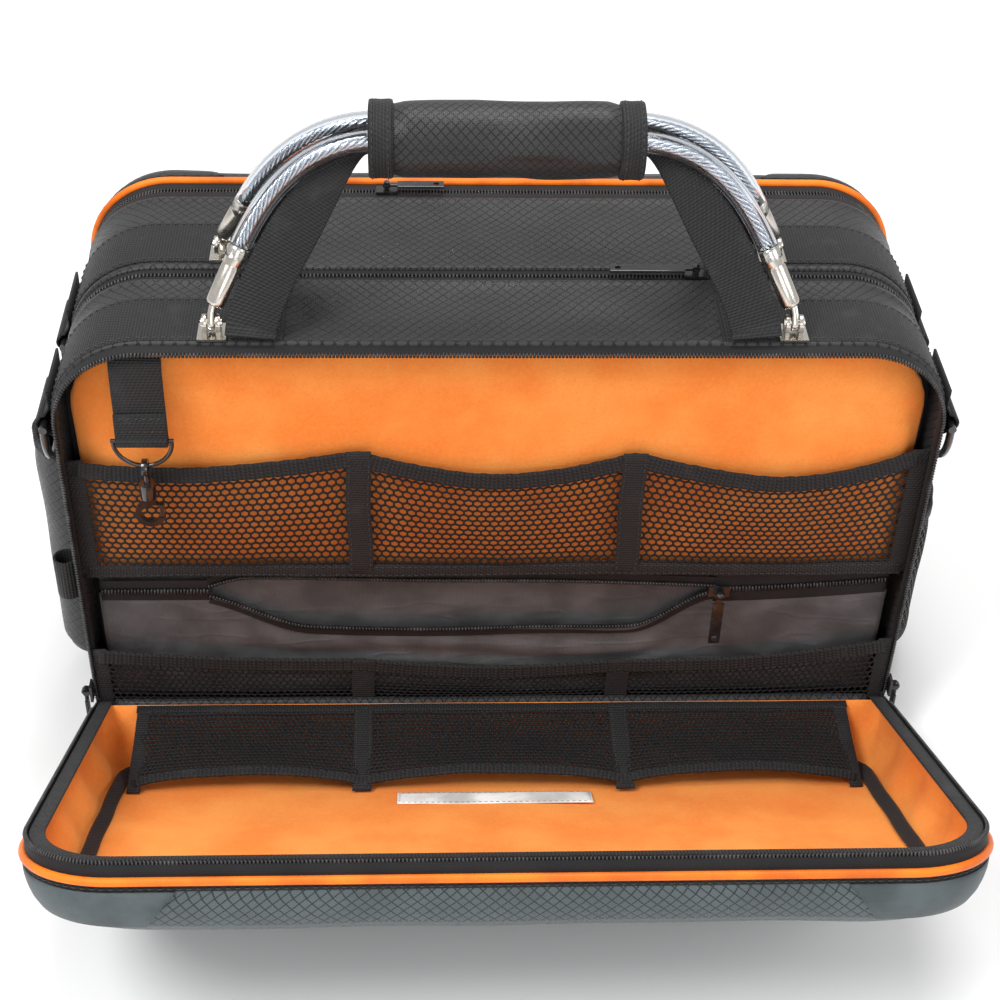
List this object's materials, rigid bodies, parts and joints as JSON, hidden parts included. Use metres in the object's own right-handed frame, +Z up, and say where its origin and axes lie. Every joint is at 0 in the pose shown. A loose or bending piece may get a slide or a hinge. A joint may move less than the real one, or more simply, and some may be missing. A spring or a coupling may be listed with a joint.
{
  "type": "flight bag",
  "caption": "Soft flight bag with front and rear clamshell doors, cable and webbing handles, net pockets, side pockets and strap rings.",
  "frame": {"origin": "middle of the flat underside of the body, between the front and rear rims", "axes": "+X to the right seen from the front, +Y from the front door to the rear door, +Z up"},
  "size_m": [0.481, 0.4184, 0.3572],
  "materials": {
    "ripstop_black": "black diamond ripstop nylon, padded",
    "ripstop_grey": "blue-grey diamond ripstop nylon",
    "webbing_black": "ribbed black webbing",
    "lining_orange": "brushed orange lining",
    "net_black": "open black net",
    "elastic_black": "ribbed elastic edging",
    "zip_tape": "woven zip tape",
    "zip_coil": "nylon zip coil",
    "piping_orange": "corded orange piping",
    "nylon_grey": "smooth dark grey nylon",
    "divider_black": "foam board in black fabric",
    "board_grey": "stiffener board",
    "label_white": "blank woven label",
    "nickel": "satin nickel plate",
    "cable_steel": "stranded steel cable",
    "clear_sleeve": "clear plastic sleeve",
    "ring_black": "black coated metal",
    "slider_black": "black enamelled zip slider",
    "hook_black": "moulded black plastic"
  },
  "bodies": {
    "root": {"base_panel": "ripstop_black", "base_board": "board_grey", "front_gusset": "ripstop_black", "rear_gusset": "ripstop_black", "body_zip_tapes": "zip_tape", "body_zip_coils": "zip_coil", "front_divider": "divider_black", "rear_divider": "divider_black", "upper_lining": "lining_orange", "net_pockets": "net_black", "net_bindings": "elastic_black", "net_tapes": "webbing_black", "pouch_panel": "nylon_grey", "webbing_bands": "webbing_black", "webbing_tabs": "webbing_black", "handle_anchors": "nickel", "tester_sleeve": "ripstop_black", "bottle_pocket": "net_black", "key_strap": "webbing_black"},
    "front_door": {"front_door_shell": "ripstop_grey", "front_door_piping": "piping_orange", "front_door_zip_tape": "zip_tape", "front_door_zip_coil": "zip_coil", "front_door_lining": "lining_orange", "front_door_pocket": "net_black", "front_door_pocket_tapes": "webbing_black", "front_door_label": "label_white"},
    "rear_door": {"rear_door_shell": "ripstop_black", "rear_door_piping": "piping_orange", "rear_door_zip_tape": "zip_tape", "rear_door_zip_coil": "zip_coil", "rear_door_lining": "lining_orange"},
    "front_handle": {"front_handle_strap": "webbing_black", "front_handle_cable": "cable_steel", "front_handle_sleeve": "clear_sleeve", "front_handle_fittings": "nickel", "grip_wrap": "ripstop_black", "grip_bindings": "webbing_black"},
    "rear_handle": {"rear_handle_strap": "webbing_black", "rear_handle_cable": "cable_steel", "rear_handle_sleeve": "clear_sleeve", "rear_handle_fittings": "nickel"},
    "ring_front_left": {"d_ring_front_left": "ring_black"},
    "ring_front_right": {"d_ring_front_right": "ring_black"},
    "ring_rear_left": {"d_ring_rear_left": "ring_black"},
    "ring_rear_right": {"d_ring_rear_right": "ring_black"},
    "key_ring": {"key_d_ring": "nickel"},
    "key_eye": {"hook_eye": "hook_black"},
    "key_hook": {"snap_hook": "hook_black"},
    "key_gate": {"hook_gate": "hook_black"},
    "main_slider": {"main_slider": "slider_black"},
    "main_pull": {"main_pull": "slider_black"},
    "rear_slider": {"rear_slider": "slider_black"},
    "rear_pull": {"rear_pull": "slider_black"},
    "pocket_slider": {"pocket_slider": "slider_black"},
    "pocket_pull": {"pocket_pull": "slider_black"},
    "front_left_slider": {"front_left_slider": "slider_black"},
    "front_left_pull": {"front_left_pull": "slider_black"},
    "front_right_slider": {"front_right_slider": "slider_black"},
    "front_right_pull": {"front_right_pull": "slider_black"}
  },
  "joints": [
    {"name": "front_door_hinge", "type": "hinge", "parent": "root", "child": "front_door", "pos_m": [0, -0.075, 0.028], "axis": [-1, 0, 0], "range_deg": [0, 62]},
    {"name": "rear_door_hinge", "type": "hinge", "parent": "root", "child": "rear_door", "pos_m": [0, 0.075, 0.028], "axis": [-1, 0, 0], "range_deg": [0, 61]},
    {"name": "front_handle_swing", "type": "hinge", "parent": "root", "child": "front_handle", "pos_m": [0, -0.06, 0.262], "axis": [1, 0, 0], "range_deg": [0, 105]},
    {"name": "rear_handle_swing", "type": "hinge", "parent": "root", "child": "rear_handle", "pos_m": [0, 0.009, 0.262], "axis": [-1, 0, 0], "range_deg": [0, 100]},
    {"name": "ring_front_left_swing", "type": "hinge", "parent": "root", "child": "ring_front_left", "pos_m": [-0.2208, -0.0475, 0.206], "axis": [0, 1, 0], "range_deg": [0, 150]},
    {"name": "ring_front_right_swing", "type": "hinge", "parent": "root", "child": "ring_front_right", "pos_m": [0.2208, -0.0475, 0.206], "axis": [0, -1, 0], "range_deg": [0, 150]},
    {"name": "ring_rear_left_swing", "type": "hinge", "parent": "root", "child": "ring_rear_left", "pos_m": [-0.2208, 0.0215, 0.206], "axis": [0, 1, 0], "range_deg": [0, 150]},
    {"name": "ring_rear_right_swing", "type": "hinge", "parent": "root", "child": "ring_rear_right", "pos_m": [0.2208, 0.0215, 0.206], "axis": [0, -1, 0], "range_deg": [0, 150]},
    {"name": "key_ring_swing", "type": "hinge", "parent": "root", "child": "key_ring", "pos_m": [-0.173, -0.0755, 0.204], "axis": [1, 0, 0], "range_deg": [-60, 0]},
    {"name": "key_eye_swing", "type": "hinge", "parent": "key_ring", "child": "key_eye", "pos_m": [-0.173, -0.0755, 0.189], "axis": [1, 0, 0], "range_deg": [-50, 0]},
    {"name": "hook_swivel", "type": "hinge", "parent": "key_eye", "child": "key_hook", "pos_m": [-0.173, -0.0755, 0.18], "axis": [0, 0, 1], "continuous": true},
    {"name": "hook_gate_press", "type": "hinge", "parent": "key_hook", "child": "key_gate", "pos_m": [-0.1671, -0.0755, 0.1644], "axis": [0, 1, 0], "range_deg": [0, 25], "stiffness_Nm_per_rad": 0.01},
    {"name": "main_slider_run", "type": "slide", "parent": "root", "child": "main_slider", "axis": [1, 0, 0], "range_m": [-0.24, 0.065]},
    {"name": "main_pull_lift", "type": "hinge", "parent": "main_slider", "child": "main_pull", "pos_m": [0.097, -0.007, 0.2584], "axis": [0, 1, 0], "range_deg": [0, 60]},
    {"name": "rear_slider_run", "type": "slide", "parent": "root", "child": "rear_slider", "axis": [1, 0, 0], "range_m": [-0.1, 0.21]},
    {"name": "rear_pull_lift", "type": "hinge", "parent": "rear_slider", "child": "rear_pull", "pos_m": [-0.057, 0.074, 0.2584], "axis": [0, -1, 0], "range_deg": [0, 160]},
    {"name": "pocket_slider_run", "type": "slide", "parent": "root", "child": "pocket_slider", "axis": [-1, 0, 0], "range_m": [0, 0.255]},
    {"name": "pocket_pull_lift", "type": "hinge", "parent": "pocket_slider", "child": "pocket_pull", "pos_m": [0.117, -0.0705, 0.097], "axis": [1, 0, 0], "range_deg": [-80, 0]},
    {"name": "front_left_slider_run", "type": "slide", "parent": "root", "child": "front_left_slider", "axis": [0, 0, 1], "range_m": [0, 0.165]},
    {"name": "front_left_pull_lift", "type": "hinge", "parent": "front_left_slider", "child": "front_left_pull", "pos_m": [-0.2194, -0.0755, 0.035], "axis": [0, 1, 0], "range_deg": [0, 140]},
    {"name": "front_right_slider_run", "type": "slide", "parent": "root", "child": "front_right_slider", "axis": [0, 0, 1], "range_m": [0, 0.165]},
    {"name": "front_right_pull_lift", "type": "hinge", "parent": "front_right_slider", "child": "front_right_pull", "pos_m": [0.2194, -0.0755, 0.035], "axis": [0, -1, 0], "range_deg": [0, 140]}
  ]
}
